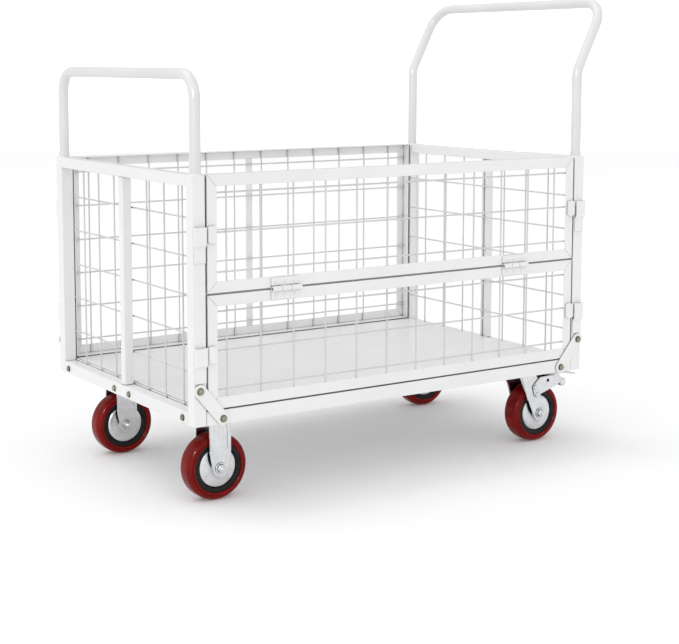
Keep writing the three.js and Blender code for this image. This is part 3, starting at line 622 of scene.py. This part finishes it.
# ---- corner straps ----
def build_straps():
    for end, side_x in ENDS:
        for face_name, side_y in FACES:
            corner = end + "_" + face_name
            top = (side_x * STRAP_TOP[0], DECK_Z + STRAP_TOP[1])
            foot = (side_x * STRAP_FOOT[0], DECK_Z + STRAP_FOOT[1])
            along = math.degrees(math.atan2(foot[1] - top[1], foot[0] - top[0]))
            outline = arc(*top, STRAP_RADIUS, along + 90, along + 270, 20)
            outline += arc(*foot, STRAP_RADIUS, along - 90, along + 90, 20)
            near = side_y * (HALF_WIDTH + STRAP_STAND_OFF)
            bm = bmesh.new()
            add_plate(bm, outline, "y", *sorted((near, near + side_y * STEEL)))
            add_piece("brace_" + corner, bm, WHITE, "cart", replaces=("strap_" + corner,), bevel=0.8)
            seat = near + side_y * STEEL
            for which, (x, z) in (("top", top), ("foot", foot)):
                bolt = bmesh.new()
                add_hex_bolt(bolt, "y", (x, seat, z), side_y, 7.2, 5.2, 8.2)
                place = "bolt_" + which + "_" + corner
                add_piece("brace_" + place, bolt, BOLT, "cart", replaces=("strap_" + place,), bevel=0.35)


# ---- flap hinges ----
def knuckle(bm, x0, x1):
    profile = [(3.3, x0), (5.4, x0), (6.0, x0 + 0.6), (6.0, x1 - 0.6), (5.4, x1), (3.3, x1)]
    add_turned(bm, profile, "x", (0, HINGE_Y, HINGE_Z), 32)


def add_screw_head(bm, x, y, z, side_y):
    profile = [(0, 0), (3.6, 0), (3.4, side_y * 0.9), (2.2, side_y * 1.7), (0, side_y * 2.0)]
    add_turned(bm, profile, "y", (x, y, z), 20, closed=False)


def hinge_leaf(name, node, body, centre, side):
    bm = bmesh.new()
    near = -HALF_WIDTH - 0.2
    far = near - LEAF_THICKNESS
    x0, x1 = centre - LEAF_HALF, centre + LEAF_HALF
    clear = HINGE_Z + side * 6.4
    tip = HINGE_Z + side * 24.0
    outline = rounded_rectangle(x0, x1, min(clear, tip), max(clear, tip), 2.5)
    add_plate(bm, outline, "y", far, near)
    third = LEAF_HALF / 3
    spans = [(centre - third + 0.3, centre + third - 0.3)]
    if side < 0:
        spans = [(x0, centre - third - 0.3), (centre + third + 0.3, x1)]
    for a, b in spans:
        add_box(bm, a, b, far, near, HINGE_Z + side * 3.4, HINGE_Z + side * 7.4)
        knuckle(bm, a, b)
    add_piece(name, bm, WHITE, body, replaces=(node,), bevel=0.4)
    screws = bmesh.new()
    for dx in SCREW_OFFSETS:
        add_screw_head(screws, centre + dx, far, HINGE_Z + side * 15.5, -1)
    add_piece(name + "_screws", screws, WHITE, body)


def build_hinges():
    for side, x in HINGE_XS.items():
        hinge_leaf("hinge_" + side + "_upper", "hinge_" + side + "_flap_leaf", "flap", x, 1)
        hinge_leaf("hinge_" + side + "_lower", "hinge_" + side + "_fixed_leaf", "front_panel", x, -1)
        bm = bmesh.new()
        end = x + 35.3
        profile = [(0, x - 31), (3.0, x - 31), (3.0, end), (4.8, end), (5.4, end + 1.5), (5.0, end + 4.5),
                   (3.0, end + 6), (0, end + 6.3)]
        add_turned(bm, profile, "x", (0, HINGE_Y, HINGE_Z), 32, closed=False)
        add_piece("hinge_" + side + "_rod", bm, WHITE, "front_panel", replaces=("hinge_" + side + "_pin",))


# ---- casters ----
def mirrored(half):
    return half + [(r, -y) for r, y in reversed(half)]


def add_wheel(kind, face, x, y):
    prefix = kind + "_" + face
    body = prefix + "_wheel"
    centre = (x, y, WHEEL_RADIUS)
    r = WHEEL_RADIUS
    half = [(58.0, 22.6), (59.0, 24.2), (60.4, 25.0), (62.6, 25.0), (63.6, 24.4), (64.0, 23.0)]
    half += [(r - 11 + 11 * math.sin(math.radians(t)), 24 - 14 * (1 - math.cos(math.radians(t))))
             for t in range(6, 91, 12)]
    half[-1] = (r, 10.0)
    bm = bmesh.new()
    add_turned(bm, mirrored(half), "y", centre, 128)
    add_piece(prefix + "_tyre", bm, RED, body, replaces=(prefix + "_tread",))

    half = [(20.0, 16.0), (46.0, 16.0), (47.0, 17.0), (47.6, 21.4), (49.0, 22.2), (56.0, 22.4), (57.6, 21.8)]
    bm = bmesh.new()
    add_turned(bm, mirrored(half), "y", centre, 96)
    add_piece(prefix + "_ring", bm, BLACK, body, replaces=(prefix + "_core",))

    half = [(6.4, 28.6), (13.5, 28.6), (15.0, 27.8), (17.0, 24.6), (20.0, 23.2), (30.0, 22.6), (40.0, 21.8),
            (44.0, 20.8), (45.8, 19.2), (46.0, 17.4), (45.0, 16.4), (19.8, 16.4)]
    bm = bmesh.new()
    add_turned(bm, mirrored(half), "y", centre, 96)
    add_piece(prefix + "_dust_caps", bm, ZINC, body, replaces=(prefix + "_caps",))

    axle_body = "cart" if kind == "fixed" else prefix
    bm = bmesh.new()
    for s in (-1, 1):
        seat = s * 33.9
        washer = [(0, 0), (13.5, 0), (13.5, 1.6), (0, 1.6)]
        head = [(0, 1.6), (10.0, 1.6), (10.0, 7), (8.2, 8.2), (0, 8.2)]
        thread = [(0, 8.2), (5.6, 8.2), (5.6, 10.5), (4.8, 11.2), (0, 11.2)]
        for steps, sides in ((washer, 40), (head, 6), (thread, 24)):
            profile = [(radius, seat + s * out) for radius, out in steps]
            add_turned(bm, profile, "y", centre, sides, False)
    add_rod(bm, [(x, y - 34, WHEEL_RADIUS), (x, y + 34, WHEEL_RADIUS)], 6.0, 24)
    add_piece(prefix + "_axle_bolt", bm, ZINC, axle_body, replaces=(prefix + "_axle",), bevel=0.4)


def fork_leg(bm, outline, y, s, beads):
    """One pressed leg, with raised beads from its top part of the way down."""
    add_plate(bm, outline, "y", *sorted((y + s * LEG_INNER, y + s * LEG_OUTER)))
    for bead in beads:
        add_plate(bm, bead, "y", *sorted((y + s * 33.0, y + s * 35.0)))


def add_plate_bolts(bm, x, y):
    for dx in (-42.0, 42.0):
        for dy in (-34.0, 34.0):
            add_hex_bolt(bm, "z", (x + dx, y + dy, DECK_Z - 4.4), -1, 7.2, 6.0, 8.6)


def plate_outline(x, y):
    """The rounded mounting plate of a caster, seen from above."""
    return rounded_rectangle(x - PLATE_HALF_X, x + PLATE_HALF_X, y - PLATE_HALF_Y, y + PLATE_HALF_Y, 8.0)


def fixed_fork(face, y):
    x = FIXED_X
    top = DECK_Z - 0.3
    bm = bmesh.new()
    add_plate(bm, plate_outline(x, y), "z", top - 4.0, top)
    left, right = x - LEG_HALF, x + LEG_HALF
    add_box(bm, left, right, y - LEG_OUTER, y + LEG_OUTER, top - 7.5, top - 4.0)
    outline = arc(x, WHEEL_RADIUS, AXLE_EYE, 205, 335, 16)
    outline += [(right, FIXED_SHOULDER_Z), (right, top - 3), (left, top - 3), (left, FIXED_SHOULDER_Z)]
    low, high = 118.0, DECK_Z - 8.0
    bead = [(26.0, low), (26.0, high), (15.0, high), (18.0, low)]
    beads = [[(x + side * out, z) for out, z in bead] for side in (-1, 1)]
    for s in (-1, 1):
        fork_leg(bm, outline, y, s, beads)
    replaced = ("fixed_" + face + "_fork",)
    add_piece("fixed_" + face + "_bracket", bm, ZINC, "cart", replaces=replaced, bevel=1.4)
    bolts = bmesh.new()
    add_plate_bolts(bolts, x, y)
    add_piece("fixed_" + face + "_plate_bolts", bolts, ZINC, "cart", bevel=0.4)


def swivel_caster(face, y):
    x = PIVOT_X
    top = DECK_Z - 0.3
    crown = DECK_Z - CROWN_DROP
    prefix = "swivel_" + face
    bm = bmesh.new()
    add_plate(bm, plate_outline(x, y), "z", top - 4.0, top)
    add_turned(bm, [(0, top - 3.5), (24, top - 3.5), (30, top - 6), (31, crown + 0.3), (0, crown + 0.3)],
               "z", (x, y, 0), 64, closed=False)
    add_piece(prefix + "_top_plate", bm, ZINC, "cart", replaces=(prefix + "_plate",), bevel=0.8)
    bolts = bmesh.new()
    add_plate_bolts(bolts, x, y)
    add_piece(prefix + "_plate_bolts", bolts, ZINC, "cart", bevel=0.4)

    axle_x = SWIVEL_WHEEL_X
    bm = bmesh.new()
    profile = [(0, crown), (30, crown), (34, crown - 3), (34, crown - 8), (0, crown - 8)]
    add_turned(bm, profile, "z", (x, y, 0), 64, closed=False)
    add_box(bm, x - LEG_HALF, x + LEG_HALF, y - LEG_OUTER, y + LEG_OUTER, crown - 8, crown - 3)
    outline = arc(axle_x, WHEEL_RADIUS, AXLE_EYE, 205, 370, 18)
    outline += [(x + 37.0, 140.0), (x + 37.0, 162.0), (x + LEG_HALF, crown - 3), (x - LEG_HALF, crown - 3)]
    low, high = 112.0, crown - 5.0
    bead = [(x + 13.0, low), (x + 3.0, low), (x - 20.0, high), (x - 2.0, high)]
    for s in (-1, 1):
        fork_leg(bm, outline, y, s, [bead])
    add_piece(prefix + "_bracket", bm, ZINC, prefix, replaces=(prefix + "_fork",), bevel=1.4)
    rivets = bmesh.new()
    for s in (-1, 1):
        seat = (x + BRAKE_PIVOT[0], y + s * (CHEEK_OUTER + 0.3), BRAKE_PIVOT[1])
        add_rivet(rivets, seat, s, 7.0)
    add_piece(prefix + "_rivets", rivets, ZINC, prefix)
    brake_lever(prefix, x, y)


def add_rivet(bm, seat, side, radius):
    r = radius
    profile = [(0, 0), (r, 0), (r - 0.6, side * 1.6), (r / 2, side * 2.8), (0, side * 3.1)]
    add_turned(bm, profile, "y", seat, 32, False)


# Outlines of the brake lever as (along, up) from its pivot.
BRACKET = [(4, 16), (-10, 2), (-3, -22), (6, -27), (20, -18)]
BRAKE_ARM = [(57, -7), (84, 3), (93, 3), (92, 12), (76, 28), (67, 25), (16, 25)]
BRAKE_TREAD = [(58, 22), (58, 25), (68, 29), (76, 30.5), (100, 28.5), (133, 23), (136, 20.5), (133, 19),
               (100, 25), (76, 27)]


def brake_lever(prefix, x, y):
    """Two cheeks outside the fork, a long foot tread bent down at its tip, and a rolled end below it."""
    px, pz = x + BRAKE_PIVOT[0], BRAKE_PIVOT[1]
    placed = [(px + along, pz + up) for along, up in BRACKET + BRAKE_ARM]
    tread = [(px + along, pz + up) for along, up in BRAKE_TREAD]
    bm = bmesh.new()
    for s in (-1, 1):
        add_plate(bm, placed, "y", *sorted((y + s * CHEEK_INNER, y + s * CHEEK_OUTER)))
    add_plate(bm, tread, "y", y - CHEEK_OUTER, y + CHEEK_OUTER)
    add_piece(prefix + "_lever", bm, ZINC, prefix + "_brake", replaces=(prefix + "_pedal",), bevel=0.7)
    fittings = bmesh.new()
    for s in (-1, 1):
        add_rivet(fittings, (px + 5.0, y + s * CHEEK_OUTER, pz - 19.0), s, 6.0)
    profile = [(0, -37.5), (5, -37.5), (9, -36.8), (10, -35.5), (10, 35.5), (9, 36.8), (5, 37.5), (0, 37.5)]
    add_turned(fittings, profile, "y", (px + 93.0, y, pz + 3.0), 40, closed=False)
    add_piece(prefix + "_lever_roller", fittings, ZINC, prefix + "_brake")
    # painted shade: a thin black disc on each cheek stands in for the shade inside a hole through it
    hole_shades = bmesh.new()
    for s in (-1, 1):
        profile = [(0, 0), (4.2, 0), (4.2, s * 0.5), (0, s * 0.5)]
        add_turned(hole_shades, profile, "y", (px + 41.0, y + s * CHEEK_OUTER, pz + 14.0), 24, closed=False)
    add_piece(prefix + "_lever_hole_shades", hole_shades, BLACK, prefix + "_brake")


def build_casters():
    for face, side_y in FACES:
        y = side_y * CASTER_Y
        fixed_fork(face, y)
        swivel_caster(face, y)
        add_wheel("fixed", face, FIXED_X, y)
        add_wheel("swivel", face, SWIVEL_WHEEL_X, y)


# ---- studio ----
BRIGHT_SIDE = (-0.55, -0.62, 0.56)  # unit vector towards the bright side of the studio
DIM_STRENGTH = 0.50
BRIGHT_STRENGTH = 1.22


def stage_piece(name, rows, material):
    """A wide strip facing the camera: (depth, height) points swept from side to side."""
    bm = bmesh.new()
    heading = Matrix.Rotation(math.radians(-33.0), 4, "Z")
    lines = [[bm.verts.new(heading @ Vector((side, y, z))) for y, z in rows] for side in (-40.0, 40.0)]
    for k in range(len(rows) - 1):
        bm.faces.new((lines[0][k], lines[1][k], lines[1][k + 1], lines[0][k + 1]))
    mesh = bpy.data.meshes.new(name)
    bm.to_mesh(mesh)
    bm.free()
    mesh.shade_smooth()
    mesh.materials.append(material)
    sheet = bpy.data.objects.new(name, mesh)
    bpy.context.scene.collection.objects.link(sheet)
    return sheet


def add_stage():
    stage_piece("studio_floor", [(-30.0, 0.0), (12.0, 0.0)], FLOOR)
    backdrop = stage_piece("studio_backdrop", [(12.0, 0.0), (12.5, 0.6), (13.0, 2.0), (13.2, 30.0)], BACKDROP)
    backdrop.visible_diffuse = False
    backdrop.visible_glossy = False


def add_area_light(name, location, target, size, power):
    data = bpy.data.lights.new(name, "AREA")
    data.energy = power
    data.shape = "RECTANGLE"
    data.size, data.size_y = size
    light = bpy.data.objects.new(name, data)
    bpy.context.scene.collection.objects.link(light)
    light.location = location
    light.rotation_euler = (Vector(target) - Vector(location)).to_track_quat("-Z", "Y").to_euler()
    return light


def add_overhead_light(name, source, strength, spread_degrees):
    """Even light from one side of the ceiling, as soft as a large diffuser."""
    data = bpy.data.lights.new(name, "SUN")
    data.energy = strength
    data.angle = math.radians(spread_degrees)
    light = bpy.data.objects.new(name, data)
    bpy.context.scene.collection.objects.link(light)
    light.rotation_euler = (-Vector(source)).to_track_quat("-Z", "Y").to_euler()


def add_surround():
    """A white studio all round, brighter above the cart's short end and front, dimmer opposite."""
    world = bpy.data.worlds.new("studio")
    bpy.context.scene.world = world
    world.use_nodes = True
    tree = world.node_tree
    background = tree.nodes["Background"]
    background.inputs["Color"].default_value = (1.0, 1.0, 1.0, 1.0)
    direction = tree.nodes.new("ShaderNodeTexCoord").outputs["Generated"]
    towards = tree.nodes.new("ShaderNodeVectorMath")
    towards.operation = "DOT_PRODUCT"
    towards.inputs[1].default_value = BRIGHT_SIDE
    strength = tree.nodes.new("ShaderNodeMapRange")
    strength.inputs["From Min"].default_value = -1.0
    strength.inputs["From Max"].default_value = 1.0
    strength.inputs["To Min"].default_value = DIM_STRENGTH
    strength.inputs["To Max"].default_value = BRIGHT_STRENGTH
    tree.links.new(direction, towards.inputs[0])
    tree.links.new(towards.outputs["Value"], strength.inputs["Value"])
    tree.links.new(strength.outputs["Result"], background.inputs["Strength"])


def add_lights():
    add_surround()
    add_overhead_light("ceiling", (-0.45, 0.35, 1.0), 0.6, 40.0)
    softbox = add_area_light("softbox", (-2.6, -2.0, 1.7), (0.0, 0.0, 0.1), (0.3, 0.3), 60.0)
    softbox.visible_diffuse = False


def set_colour_management():
    bpy.context.scene.view_settings.view_transform = "Standard"


CAMERA_OFFSET = (-1994.9, -3018.4, 970.4)
CAMERA_HEADING = -33.119
CAMERA_DOWN = 6.540


def add_camera():
    data = bpy.data.cameras.new("camera")
    camera = bpy.data.objects.new("camera", data)
    bpy.context.scene.collection.objects.link(camera)
    data.sensor_width = 36.0
    data.lens = 77.73
    data.shift_x = 0.0405
    data.shift_y = -0.1384
    data.clip_end = 200.0
    camera.location = MIDDLE + Vector(CAMERA_OFFSET) * MM
    camera.rotation_euler = (math.radians(90.0 - CAMERA_DOWN), 0.0, math.radians(CAMERA_HEADING))
    bpy.context.scene.camera = camera


build_deck()
for end_name, side in ENDS:
    end_frame(end_name, side)
    end_wires(end_name, side)
build_handles()
build_panels()
build_straps()
build_hinges()
build_casters()
add_stage()
add_lights()
add_camera()
set_colour_management()
